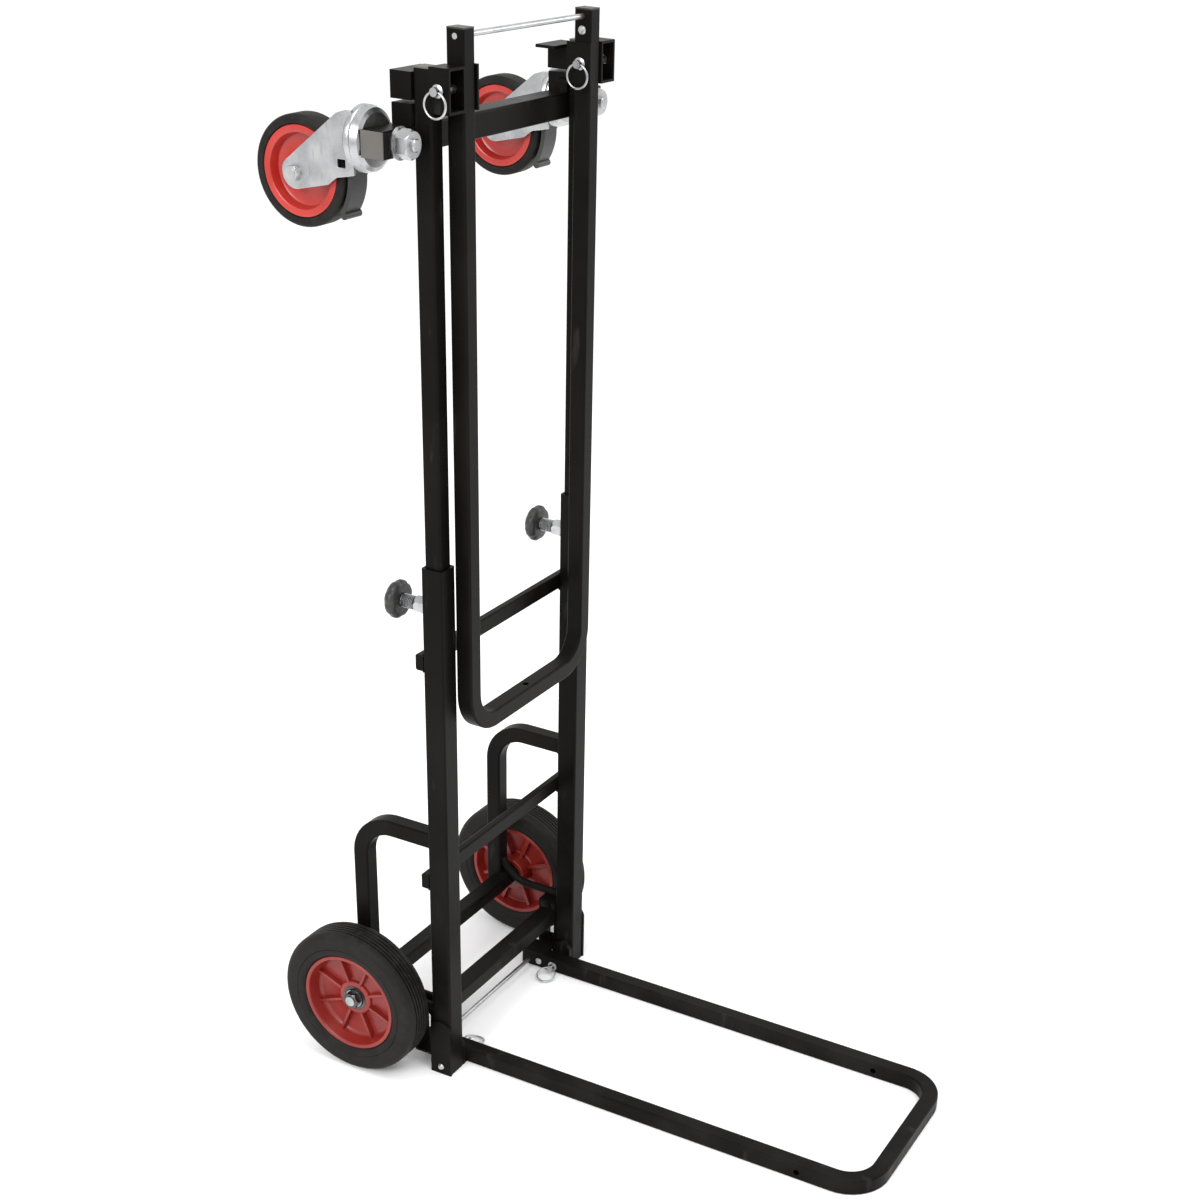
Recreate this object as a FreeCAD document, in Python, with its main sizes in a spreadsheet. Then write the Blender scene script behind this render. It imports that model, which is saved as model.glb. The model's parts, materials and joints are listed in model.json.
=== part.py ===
import FreeCAD, Part
import math
import os
import re

# Convertible hand truck: two telescoping uprights on two big wheels, a folding toe frame at the foot,
# a second folding frame that hangs at the top, and two swivel casters on a cross-beam behind the top.
# Millimetres, +Z up, the toe points to -Y, "left" is -X. The origin is on the floor, at the middle of
# the whole object's box. Lengths along Y are counted from the middle plane of the uprights.

SIZES = [
    ("upright_x", 137.5, "middle of the truck to the middle of an upright"),
    ("outer_side", 25.0, "lower square tube"),
    ("outer_wall", 2.5, "its wall"),
    ("outer_height", 625.0, "its length, from the floor"),
    ("inner_side", 19.0, "telescoping square tube"),
    ("inner_wall", 1.6, "its wall"),
    ("inner_top", 1104.0, "top of the telescoping tube"),
    ("inner_overlap", 150.0, "length of it inside the lower tube"),
    ("tube_round", 2.2, "outer corner radius of square tube"),
    ("bar_depth", 9.5, "upper and middle crossbars, front to back"),
    ("bar_tall", 18.0, "their height"),
    ("upper_bar_z", 519.0, "middle of the upper crossbar"),
    ("middle_bar_z", 254.0, "middle of the middle crossbar"),
    ("bottom_bar_depth", 22.0, "bottom crossbar, front to back"),
    ("bottom_bar_tall", 19.0, "its height"),
    ("bottom_bar_z", 64.5, "its middle"),
    ("foot_box_depth", 24.5, "box behind a foot, front to back"),
    ("foot_box_top", 84.0, "top of the box behind a foot"),
    ("loop_side", 19.0, "wheel loop tube"),
    ("loop_back", 107.0, "uprights to the loop's upright stretch"),
    ("loop_top_z", 304.0, "loop's upper leg"),
    ("loop_bend", 42.0, "loop's bend radius, on its middle line"),
    ("brace_radius", 5.0, "brace rod between a foot and its loop"),
    ("brace_z", 92.0, "brace rod, middle of its straight run"),
    ("brace_bend", 40.0, "brace rod's bend"),
    ("axle_back", 97.5, "uprights to the wheel axle"),
    ("axle_side", 19.0, "square tube round the axle, between the loops"),
    ("axle_radius", 6.0, "axle rod"),
    ("sleeve_radius", 12.0, "sleeve at the bottom of a loop"),
    ("sleeve_length", 23.0, "its length"),
    ("wheel_radius", 89.0, "seven inch wheel"),
    ("wheel_out", 27.0, "side of an upright to the middle of a tyre"),
    ("tyre_width", 40.0, "tread width"),
    ("rim_radius", 60.0, "seat of the tyre"),
    ("rim_width", 35.0, "rim"),
    ("hub_in", 26.0, "middle of the tyre to the hub's inner end"),
    ("hub_out", 5.0, "middle of the tyre to the hub's outer end"),
    ("hub_radius", 21.0, "rim's hub, outside"),
    ("bearing_radius", 15.0, "wheel bearing, outside"),
    ("bearing_width", 9.0, "wheel bearing"),
    ("bent_side", 19.0, "tube of the two folding frames"),
    ("bent_wall", 1.6, "its wall"),
    ("bent_radius", 40.0, "their bends, on the middle line"),
    ("toe_in", 7.0, "side of an upright to the side of a toe leg"),
    ("toe_reach", 530.5, "uprights to the front of the toe frame"),
    ("toe_heel", 44.0, "pivot to the end of a toe leg"),
    ("heel_rod", 10.0, "leg end to the stretcher rod"),
    ("heel_screw", 23.0, "leg end to its screw"),
    ("rod_radius", 2.7, "stretcher rods"),
    ("handle_in", 5.0, "side of a telescoping tube to the side of a handle leg"),
    ("handle_front", 20.0, "uprights to the handle frame's plane"),
    ("handle_heel", 50.0, "pivot to the end of a handle leg"),
    ("handle_rod", 6.0, "leg end to the stretcher rod"),
    ("handle_screw", 19.0, "leg end to its screw"),
    ("handle_length", 660.0, "pin of the handle frame to its bottom"),
    ("pivot_drop", 17.0, "top of the telescoping tube down to the pin of the handle frame"),
    ("pin_radius", 4.0, "ring pins"),
    ("pin_gap", 0.3, "clearance round a ring pin"),
    ("ring_radius", 11.5, "pull ring, middle line"),
    ("ring_wire", 1.1, "its wire's radius"),
    ("bracket_height", 40.0, "handle frame brackets"),
    ("plate", 2.5, "bracket plates"),
    ("side_gap", 0.5, "leg to plate"),
    ("beam_side", 25.0, "caster beam tube"),
    ("beam_drop", 62.5, "top of the telescoping tube down to its middle"),
    ("beam_past", 24.0, "caster stem to the end of the beam"),
    ("hook_drop", 3.5, "top of the telescoping tube down to the top of the hooks"),
    ("hook_height", 24.5, "hooks behind the tubes"),
    ("hook_gap", 3.0, "hooks to the blocks under them"),
    ("caster_out", 32.5, "middle of an upright to a caster's stem"),
    ("caster_radius", 50.8, "four inch caster wheel"),
    ("caster_drop", 35.5, "stem to the caster's axle"),
    ("caster_back", 79.0, "beam to the caster's axle"),
    ("caster_width", 27.0, "caster tread"),
    ("caster_rim", 41.5, "seat of the caster's tyre"),
    ("race_radius", 30.0, "swivel race"),
    ("stem_radius", 6.0, "caster stem"),
    ("fork_sheet", 3.0, "fork"),
    ("brake_gap", 3.0, "tyre to its brake shoe"),
    ("knob_drop", 46.0, "top of the lower tube down to the clamp knobs"),
    ("knob_radius", 20.5, "their heads"),
    ("knob_back", 44.0, "uprights to a knob's head"),
    ("knob_depth", 16.0, "thickness of a head"),
    ("screw_radius", 5.0, "clamp screws"),
    ("collar_radius", 7.5, "shoulder of a clamp screw"),
    ("nut_length", 14.0, "clamp nuts"),
    ("run_gap", 0.05, "running clearance of axles, screws and stems"),
]

# Places that follow from the sizes.
PLACES = {
    "wheel_x": "(upright_x + outer_side / 2 + wheel_out)",
    "toe_x": "(upright_x - outer_side / 2 - toe_in - bent_side / 2)",
    "handle_x": "(upright_x - inner_side / 2 - handle_in - bent_side / 2)",
    "caster_x": "(upright_x + caster_out)",
    "beam_half": "(upright_x + caster_out + beam_past)",
    "pivot_z": "(inner_top - pivot_drop)",
    "beam_z": "(inner_top - beam_drop)",
    "hook_top": "(inner_top - hook_drop)",
    "hook_low": "(inner_top - hook_drop - hook_height)",
    "block_top": "(inner_top - hook_drop - hook_height - hook_gap)",
    "knob_z": "(outer_height - knob_drop)",
    "handle_low": "(inner_top - pivot_drop - handle_length)",
}

doc = FreeCAD.newDocument("hand_truck")
sheet = doc.addObject("Spreadsheet::Sheet", "Sizes")
for row, (alias, number, note) in enumerate(SIZES, start=1):
    sheet.set(f"A{row}", note)
    sheet.set(f"B{row}", str(number))
    sheet.setAlias(f"B{row}", alias)
doc.recompute()

probe = doc.addObject("App::FeaturePython", "Probe")
probe.addProperty("App::PropertyFloat", "Reading")

ALIASES = {alias for alias, number, note in SIZES}
MIDDLE_Y = "((toe_reach - axle_back - wheel_radius) / 2)"
LEFT, RIGHT = -1, 1
SIDES = ((LEFT, "left"), (RIGHT, "right"))
AXES = {"x": FreeCAD.Vector(1, 0, 0), "y": FreeCAD.Vector(0, 1, 0), "z": FreeCAD.Vector(0, 0, 1)}
nodes = []


def expression(text):
    """The text with places worked out and every size named as its cell in the sheet."""
    placed = re.sub(r"[a-z][a-z_]*", lambda word: PLACES.get(word.group(), word.group()), text)
    return re.sub(r"[a-z][a-z_]*", lambda word: "Sizes." * (word.group() in ALIASES) + word.group(), placed)


def mm(text):
    """The value of an expression in the sheet's sizes."""
    probe.setExpression("Reading", expression(str(text)))
    probe.recompute()
    return probe.Reading


def point(x, y, z):
    return FreeCAD.Vector(mm(x), mm(f"{MIDDLE_Y} + ({y})"), mm(z))


def mirrored(side, low, high):
    """A span in X given for the right side, turned over for the left one."""
    return (low, high) if side == RIGHT else (f"-({high})", f"-({low})")


def box(name, x, y, z):
    item = doc.addObject("Part::Box", name)
    spans = (x, (f"{MIDDLE_Y} + ({y[0]})", f"{MIDDLE_Y} + ({y[1]})"), z)
    for size_name, axis, (low, high) in zip(("Length", "Width", "Height"), "xyz", spans):
        item.setExpression(size_name, expression(f"({high}) - ({low})"))
        item.setExpression(f"Placement.Base.{axis}", expression(low))
    return item


def cylinder(name, axis, radius, start, length):
    """A round bar that starts at a point and runs along an axis."""
    item = doc.addObject("Part::Cylinder", name)
    item.Placement.Rotation = FreeCAD.Rotation(AXES["z"], AXES[axis])
    item.setExpression("Radius", expression(radius))
    item.setExpression("Height", expression(length))
    for letter, place in zip("xyz", (start[0], f"{MIDDLE_Y} + ({start[1]})", start[2])):
        item.setExpression(f"Placement.Base.{letter}", expression(place))
    return item


def cut(name, base, *tools):
    for count, tool in enumerate(tools):
        result = doc.addObject("Part::Cut", f"{name}_cut{count}")
        result.Base = base
        result.Tool = tool
        base = result
    return base


def fuse(name, *items):
    result = doc.addObject("Part::MultiFuse", f"{name}_joined")
    result.Shapes = list(items)
    return result


def group(name, *items):
    result = doc.addObject("Part::Compound", f"{name}_set")
    result.Links = list(items)
    return result


def shaped(name, shape):
    item = doc.addObject("Part::Feature", name)
    item.Shape = shape
    return item


def node(label, item):
    item.Label = label
    if item.Label != label:
        raise RuntimeError(f"{label} is already the name of something else")
    nodes.append(item)
    return item


def rounded(name, base, axis, radius):
    """The box with its four long edges rounded."""
    doc.recompute()
    edges = [number for number, edge in enumerate(base.Shape.Edges, start=1)
             if abs(edge.tangentAt(edge.FirstParameter).dot(AXES[axis])) > 0.99]
    item = doc.addObject("Part::Fillet", name)
    item.Base = base
    item.Edges = [(number, mm(radius), mm(radius)) for number in edges]
    return item


def grown(span, amount):
    return (f"({span[0]}) - ({amount})", f"({span[1]}) + ({amount})")


def square_tube(name, axis, spans, wall):
    """Straight square tube with rounded edges and open ends."""
    solid = rounded(f"{name}_solid", box(f"{name}_outside", *spans), axis, "tube_round")
    bore = [grown(span, 1) if letter == axis else grown(span, f"-({wall})")
            for letter, span in zip("xyz", spans)]
    return cut(name, solid, box(f"{name}_bore", *bore))


def centred(middle, width):
    return (f"({middle}) - ({width}) / 2", f"({middle}) + ({width}) / 2")


def turned(name, outline, axis, start):
    """A lathe-turned solid: outline of (distance along the axis, radius), turned about the axis."""
    points = [FreeCAD.Vector(radius, 0, along) for along, radius in outline]
    face = Part.Face(Part.makePolygon(points + points[:1]))
    solid = face.revolve(FreeCAD.Vector(), AXES["z"], 360)
    item = shaped(name, solid)
    item.Placement = FreeCAD.Placement(start, FreeCAD.Rotation(AXES["z"], AXES[axis]))
    return item


def bent_path(corners, radius):
    """Straight runs joined by tangent arcs."""
    edges = []
    last = corners[0]
    for before, corner, after in zip(corners, corners[1:], corners[2:]):
        back = (before - corner).normalize() * radius
        ahead = (after - corner).normalize() * radius
        middle = corner + (back + ahead) * (1 - math.sqrt(0.5))
        edges.append(Part.LineSegment(last, corner + back).toShape())
        edges.append(Part.Arc(corner + back, middle, corner + ahead).toShape())
        last = corner + ahead
    edges.append(Part.LineSegment(last, corners[-1]).toShape())
    return Part.Wire(edges)


def square_wire(centre, across, up, side, corner):
    """A square with round corners about a centre, in the plane of two directions."""
    half = side / 2
    flat = half - corner
    slant = flat + corner * math.sqrt(0.5)
    edges = []
    for turn in range(4):
        cosine = round(math.cos(turn * math.pi / 2))
        sine = round(math.sin(turn * math.pi / 2))
        first = across * cosine + up * sine
        second = up * cosine - across * sine
        start = centre + first * half - second * flat
        end = centre + first * half + second * flat
        edges.append(Part.LineSegment(start, end).toShape())
        edges.append(Part.Arc(end, centre + (first + second) * slant,
                              centre + second * half + first * flat).toShape())
    return Part.Wire(edges)


def bent_tube(name, corners, radius, side, wall, normal):
    """Square tube bent flat in one plane, as on a tube bender."""
    path = bent_path(corners, radius)
    ahead = (corners[1] - corners[0]).normalize()
    across = ahead.cross(normal)
    corner = mm("tube_round")
    skins = []
    for inset in (0, wall):
        section = square_wire(corners[0], across, normal, side - 2 * inset, max(corner - inset, 0.5))
        skins.append(path.makePipeShell([section], True, False))
    return shaped(f"{name}_bent", skins[0].cut(skins[1]))


def side_x(side, text):
    return f"{side} * ({text})"


def drilled(name, base, axis, radius, start, length):
    return cut(name, base, cylinder(f"{name}_drill", axis, radius, start, length))


# ---------------------------------------------------------------- lower frame
OUTER_REAR = "outer_side / 2"
KNOB_HOLE = "screw_radius + 0.5"


def outer_tube(side, word):
    name = f"outer_tube_{word}"
    spans = (centred(side_x(side, "upright_x"), "outer_side"), centred("0", "outer_side"), ("0",
                                                                                            "outer_height"))
    tube = square_tube(name, "z", spans, "outer_wall")
    tube = drilled(f"{name}_knob", tube, "y", KNOB_HOLE, (side_x(side, "upright_x"), "0", "knob_z"),
                   "outer_side")
    start = (side_x(side, "upright_x") + " - outer_side", "0", TOE_Z)
    node(name, drilled(f"{name}_pin", tube, "x", "pin_radius + pin_gap", start, "2 * outer_side"))


def crossbar(name, half, depth, tall, middle_z):
    """A tube welded across the back of both uprights, closed at its ends."""
    spans = ((f"-({half})", half), (OUTER_REAR, f"{OUTER_REAR} + {depth}"), centred(middle_z, tall))
    solid = rounded(f"{name}_solid", box(f"{name}_outside", *spans), "x", "tube_round")
    bore = [grown(span, "-1.5") for span in spans]
    node(name, cut(name, solid, box(f"{name}_hollow", *bore)))


def wheel_loop(side, word):
    """The bent tube behind an upright, from its upper leg down to the sleeve of the axle."""
    x = side_x(side, "upright_x")
    corners = [point(x, OUTER_REAR, "loop_top_z"), point(x, "loop_back", "loop_top_z"),
               point(x, "loop_back", "wheel_radius")]
    loop = bent_tube(f"wheel_loop_{word}", corners, mm("loop_bend"), mm("loop_side"), 1.6, AXES["x"])
    start = (f"{x} - loop_side", "axle_back", "wheel_radius")
    node(f"wheel_loop_{word}", drilled(f"loop_{word}", loop, "x", "sleeve_radius", start, "2 * loop_side"))


def brace_rod(side, word):
    """Round rod from the foot back and up to the front of the loop."""
    x = side_x(side, "upright_x")
    bend = mm("brace_bend")
    meet = point(x, "loop_back - loop_side / 2", "brace_z")
    start = point(x, OUTER_REAR, "brace_z")
    centre = meet + FreeCAD.Vector(0, -bend * math.cos(math.radians(20)), bend)
    turns = [centre + FreeCAD.Vector(0, bend * math.cos(math.radians(angle)),
                                     bend * math.sin(math.radians(angle)))
             for angle in (-90, -55, -16)]
    path = Part.Wire([Part.LineSegment(start, turns[0]).toShape(), Part.Arc(*turns).toShape()])
    section = Part.Wire([Part.Circle(start, AXES["y"], mm("brace_radius")).toShape()])
    rod = path.makePipeShell([section], True, False)
    post = Part.makeBox(40, 40, 80, meet + FreeCAD.Vector(-20, 0, -30))
    return shaped(f"brace_{word}", rod.cut(post))


def axle():
    """Square tube between the loops' sleeves, with the axle rod right through."""
    half = "upright_x - sleeve_length / 2"
    spans = ((f"-({half})", half), centred("axle_back", "axle_side"), centred("wheel_radius", "axle_side"))
    bar = rounded("axle_tube_bar", box("axle_tube_outside", *spans), "x", "tube_round")
    node("axle_tube", drilled("axle_tube", bar, "x", "axle_radius", (f"-({half})", "axle_back",
                                                                     "wheel_radius"),
                              f"2 * ({half})"))
    sleeves = []
    for side, word in SIDES:
        start = (f"{side_x(side, 'upright_x')} - sleeve_length / 2", "axle_back", "wheel_radius")
        sleeve = cylinder(f"sleeve_{word}", "x", "sleeve_radius", start, "sleeve_length")
        sleeves.append(drilled(f"sleeve_{word}", sleeve, "x", "axle_radius", start, "sleeve_length"))
    node("axle_sleeves", group("axle_sleeves", *sleeves))
    reach = f"({AXLE_NUT_X} + 8)"
    node("axle_rod", cylinder("axle_rod_bar", "x", "axle_radius", (f"-{reach}", "axle_back", "wheel_radius"),
                              f"2 * {reach}"))


def hexagon(name, across_flats, thickness, bore, axis, start):
    """A plain hexagon nut with chamfered corners."""
    corner_radius = across_flats / math.sqrt(3)
    corners = [FreeCAD.Vector(corner_radius * math.cos(math.radians(60 * turn + 30)),
                              corner_radius * math.sin(math.radians(60 * turn + 30)), 0) for turn in range(7)]
    prism = Part.Face(Part.makePolygon(corners)).extrude(AXES["z"] * thickness)
    flat = across_flats / 2
    bevel = 0.2 * thickness
    blank = Part.Face(Part.makePolygon([FreeCAD.Vector(*place) for place in (
        (0, 0, 0), (flat, 0, 0), (corner_radius, 0, bevel), (corner_radius, 0, thickness - bevel),
        (flat, 0, thickness), (0, 0, thickness), (0, 0, 0))])).revolve(FreeCAD.Vector(), AXES["z"], 360)
    nut = prism.common(blank).cut(Part.makeCylinder(bore, thickness))
    item = shaped(name, nut)
    item.Placement = FreeCAD.Placement(start, FreeCAD.Rotation(AXES["z"], AXES[axis]))
    return item


def axle_fasteners():
    washers = []
    nuts = []
    for side, word in SIDES:
        for count, place in enumerate((f"{HUB_START} - {HUB_GAP}", AXLE_NUT_X)):
            low, high = mirrored(side, f"{place} - 1.2", place)
            start = (low, "axle_back", "wheel_radius")
            ring = cylinder(f"axle_washer_{word}{count}", "x", "11", start, "1.2")
            washers.append(drilled(f"axle_washer_{word}{count}", ring, "x", "axle_radius", start, "1.2"))
        low, high = mirrored(side, AXLE_NUT_X, f"{AXLE_NUT_X} + 7")
        start = point(low, "axle_back", "wheel_radius")
        nuts.append(hexagon(f"axle_nut_{word}", 18, 7, mm("axle_radius"), "x", start))
    node("axle_washers", group("axle_washers", *washers))
    node("axle_nuts", group("axle_nuts", *nuts))


TOE_Z = "(bent_side / 2)"
CHEEK_IN = "(toe_x + bent_side / 2 + side_gap)"
UPRIGHT_IN = "(upright_x - outer_side / 2)"
UPRIGHT_OUT = "(upright_x + outer_side / 2)"


def rounded_plate(name, x_low, thickness, y_middle, width, height):
    """An upright plate with a half-round top, standing on the floor."""
    half = mm(width) / 2
    straight = mm(height) - half
    low = point(x_low, f"{y_middle} - ({width}) / 2", "0")
    up = FreeCAD.Vector(0, 0, straight)
    along = FreeCAD.Vector(0, 2 * half, 0)
    top = low + up + FreeCAD.Vector(0, half, half)
    edges = [Part.LineSegment(low, low + up), Part.Arc(low + up, top, low + up + along),
             Part.LineSegment(low + up + along, low + along), Part.LineSegment(low + along, low)]
    wire = Part.Wire([edge.toShape() for edge in edges])
    return shaped(name, Part.Face(wire).extrude(FreeCAD.Vector(mm(thickness), 0, 0)))


def foot_plates():
    """The plate outside each foot and the cheek between the foot and the toe leg."""
    plates = []
    for side, word in SIDES:
        start = mirrored(side, UPRIGHT_OUT, f"{UPRIGHT_OUT} + 3")[0]
        hole = (side_x(side, "upright_x") + " - 40", "0", TOE_Z)
        plate = rounded_plate(f"foot_plate_{word}", start, "3", "0", "outer_side + 2", "72")
        plates.append(drilled(f"foot_plate_{word}", plate, "x", "pin_radius + pin_gap", hole, "80"))
        start = mirrored(side, CHEEK_IN, UPRIGHT_IN)[0]
        cheek = rounded_plate(f"cheek_{word}", start, f"{UPRIGHT_IN} - {CHEEK_IN}", "0", "outer_side", "34")
        plates.append(drilled(f"cheek_{word}", cheek, "x", "pin_radius + pin_gap", hole, "80"))
    node("foot_plates", group("foot_plates", *plates))


def stop_brackets():
    """Box behind each foot, with the shelf that the toe leg's heel presses up against."""
    brackets = []
    floor = f"{TOE_Z} + bent_side / 2 + side_gap"
    for side, word in SIDES:
        spans = (mirrored(side, UPRIGHT_IN, UPRIGHT_OUT), (OUTER_REAR, f"{OUTER_REAR} + foot_box_depth"),
                 (floor, "foot_box_top"))
        room = [spans[0], grown(spans[1], "-plate"), grown(spans[2], "-plate")]
        room[0] = grown(spans[0], "1")
        shell = cut(f"stop_{word}", box(f"stop_box_{word}", *spans), box(f"stop_room_{word}", *room))
        span = mirrored(side, "toe_x - bent_side / 2 - 2", UPRIGHT_IN)
        shelf = box(f"stop_shelf_{word}", span, (OUTER_REAR, f"{OUTER_REAR} + 34"), (floor, f"{floor} + 3"))
        brackets.append(fuse(f"stop_{word}", shell, shelf))
    node("stop_brackets", group("stop_brackets", *brackets))


def clamp_nuts():
    nuts = [hexagon(f"clamp_nut_{word}", 17, mm("nut_length"), mm("screw_radius + run_gap"), "y",
                    point(side_x(side, "upright_x"), OUTER_REAR, "knob_z")) for side, word in SIDES]
    node("clamp_nuts", group("clamp_nuts", *nuts))


# ---------------------------------------------------------------- big wheels
HUB_START = "(wheel_x - hub_in)"
HUB_GAP = "0.3"
AXLE_NUT_X = "(wheel_x + hub_out + 0.3 + 1.2)"
GROOVES = 5


def tyre(side, word):
    """Solid rubber tyre with round shoulders and five grooves round the tread."""
    radius = mm("wheel_radius")
    seat = mm("rim_radius")
    half = mm("tyre_width / 2")
    shoulder = 9.0
    outline = [(-half + 3, seat), (-half, seat + 4), (-half, radius - shoulder)]
    outline += [(-half + shoulder * (1 - math.cos(angle)), radius - shoulder * (1 - math.sin(angle)))
                for angle in (math.pi / 6, math.pi / 3, math.pi / 2)]
    pitch = (2 * half - 2 * shoulder) / GROOVES
    for count in range(GROOVES):
        middle = -half + shoulder + pitch * (count + 0.5)
        outline += [(middle - 1.2, radius), (middle - 0.6, radius - 2), (middle + 0.6, radius - 2),
                    (middle + 1.2, radius)]
    outline += [(half - shoulder * (1 - math.cos(angle)), radius - shoulder * (1 - math.sin(angle)))
                for angle in (math.pi / 2, math.pi / 3, math.pi / 6)]
    outline += [(half, radius - shoulder), (half, seat + 4), (half - 3, seat)]
    node(f"tyre_{word}", turned(f"tyre_{word}", outline, "x", point(side_x(side, "wheel_x"), "axle_back",
                                                                  "wheel_radius")))


RIB_COUNT = 8


def facing(side):
    """Turns a lathe axis so that it points away from the truck's middle."""
    return FreeCAD.Rotation(AXES["z"], AXES["x"] * side)


def rim(side, word):
    """Moulded rim: a deep barrel, a web, a hub and eight ribs on each side of the web."""
    seat = mm("rim_radius")
    hub = mm("hub_radius")
    half = mm("rim_width / 2")
    bore = mm("bearing_radius")
    start = -mm("hub_in")
    end = mm("hub_out")
    barrel = 5.0
    outline = [(-half, seat), (-half, seat - barrel), (-4, seat - barrel - 3), (-4, hub), (start, hub),
               (start, bore), (end, bore), (end, hub), (0, hub), (0, seat - barrel - 3), (half,
                                                                                          seat - barrel),
               (half, seat)]
    points = [FreeCAD.Vector(radius, 0, along) for along, radius in outline]
    solid = Part.Face(Part.makePolygon(points + points[:1])).revolve(FreeCAD.Vector(), AXES["z"], 360)
    length = seat - barrel - hub
    for turn in range(RIB_COUNT):
        rib = Part.makeBox(length, 5, end - 2 + 12, FreeCAD.Vector(hub - 1, -2.5, -12))
        rib.rotate(FreeCAD.Vector(), AXES["z"], 360 / RIB_COUNT * turn)
        solid = solid.fuse(rib)
    solid = solid.cut(Part.makeCylinder(bore, end - start, FreeCAD.Vector(0, 0, start)))
    item = shaped(f"rim_{word}", solid)
    item.Placement = FreeCAD.Placement(point(side_x(side, "wheel_x"), "axle_back", "wheel_radius"),
                                       facing(side))
    node(f"wheel_rim_{word}", item)


def bearings(side, word):
    """A ball bearing in each end of the hub."""
    rings = []
    outer = mm("bearing_radius")
    bore = mm("axle_radius + run_gap")
    width = mm("bearing_width")
    for count, start in enumerate((HUB_START, "wheel_x + hub_out - bearing_width")):
        low, high = mirrored(side, start, f"{start} + bearing_width")
        outline = [(0, bore), (width, bore), (width, bore + 3), (width - 1, bore + 3), (width - 1, outer - 3),
                   (width, outer - 3), (width, outer), (0, outer), (0, outer - 3), (1, outer - 3), (1,
                                                                                                    bore + 3),
                   (0, bore + 3)]
        rings.append(turned(f"bearing_{word}{count}", outline, "x", point(low, "axle_back", "wheel_radius")))
    node(f"wheel_bearings_{word}", group(f"wheel_bearings_{word}", *rings))


# ---------------------------------------------------------------- clamp knobs
def clamp_knob(side, word):
    """Round domed plastic head on a screw that presses on the telescoping tube."""
    x = side_x(side, "upright_x")
    radius = mm("knob_radius")
    depth = mm("knob_depth")
    screw = mm("screw_radius")
    collar = mm("collar_radius")
    outline = [(0, screw), (0, radius - 6), (2, radius - 1.5), (4, radius), (depth - 7, radius),
               (depth - 4, radius - 1.5), (depth - 1.5, radius - 6), (depth, radius - 13), (depth, 0), (8, 0),
               (8, screw)]
    node(f"knob_head_{word}", turned(f"knob_head_{word}", outline, "y", point(x, "knob_back", "knob_z")))
    tip = mm("inner_side / 2 + 0.2")
    back = mm("knob_back")
    shoulder = mm("outer_side / 2 + nut_length + 1.5")
    outline = [(tip, 0), (tip, screw - 1), (tip + 1, screw), (shoulder, screw), (shoulder, collar), (back,
                                                                                                     collar),
               (back, screw), (back + 8, screw), (back + 8, 0)]
    node(f"clamp_screw_{word}", turned(f"clamp_screw_{word}", outline, "y", point(x, "0", "knob_z")))


# ---------------------------------------------------------------- folding frames
def toe_frame():
    side = "bent_side / 2"
    rear = "toe_heel"
    front = f"-(toe_reach - {side})"
    corners = [point("-toe_x", rear, TOE_Z), point("-toe_x", front, TOE_Z), point("toe_x", front, TOE_Z),
               point("toe_x", rear, TOE_Z)]
    tube = bent_tube("toe_frame", corners, mm("bent_radius"), mm("bent_side"), mm("bent_wall"), AXES["z"])
    reach = "toe_x + bent_side"
    tube = drilled("toe_pin", tube, "x", "pin_radius + pin_gap", (f"-({reach})", "0", TOE_Z),
                   f"2 * ({reach})")
    rod_y = "toe_heel - heel_rod"
    tube = drilled("toe_rod", tube, "x", "rod_radius", (f"-({reach})", rod_y, TOE_Z), f"2 * ({reach})")
    for side_sign, word in SIDES:
        start = (f"{side_x(side_sign, 'toe_x')} - {side} - 5", f"90 - toe_reach", TOE_Z)
        tube = drilled(f"toe_hole_{word}", tube, "x", "3.5", start, "10")
    node("toe_tube", tube)
    node("toe_rod", cylinder("toe_rod_bar", "x", "rod_radius", (f"-(toe_x + {side})", rod_y, TOE_Z),
                             f"2 * (toe_x + {side})"))
    node("toe_screws", group("toe_screws", *[frame_screw(f"toe_screw_{word}", side_sign, f"toe_x - {side}",
                                                         "toe_heel - heel_screw", TOE_Z)
                                             for side_sign, word in SIDES]))
    plugs = [box(f"toe_plug_{word}", centred(side_x(side_sign, "toe_x"), "bent_side - 1"),
                 ("toe_heel", "toe_heel + 1.5"), centred(TOE_Z, "bent_side - 1")) for side_sign,
                 word in SIDES]
    node("toe_plugs", group("toe_plugs", *plugs))


def frame_screw(name, side, face_x, y, z):
    """Pan-head screw on the inner face of a leg."""
    outline = [(0, 0), (0, 4.5), (-1.2, 4.2), (-2.2, 3.0), (-2.6, 0)]
    outline = [(along * side, radius) for along, radius in outline]
    return turned(name, outline, "x", point(side_x(side, face_x), y, z))


HANDLE_Y = "-handle_front"


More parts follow.
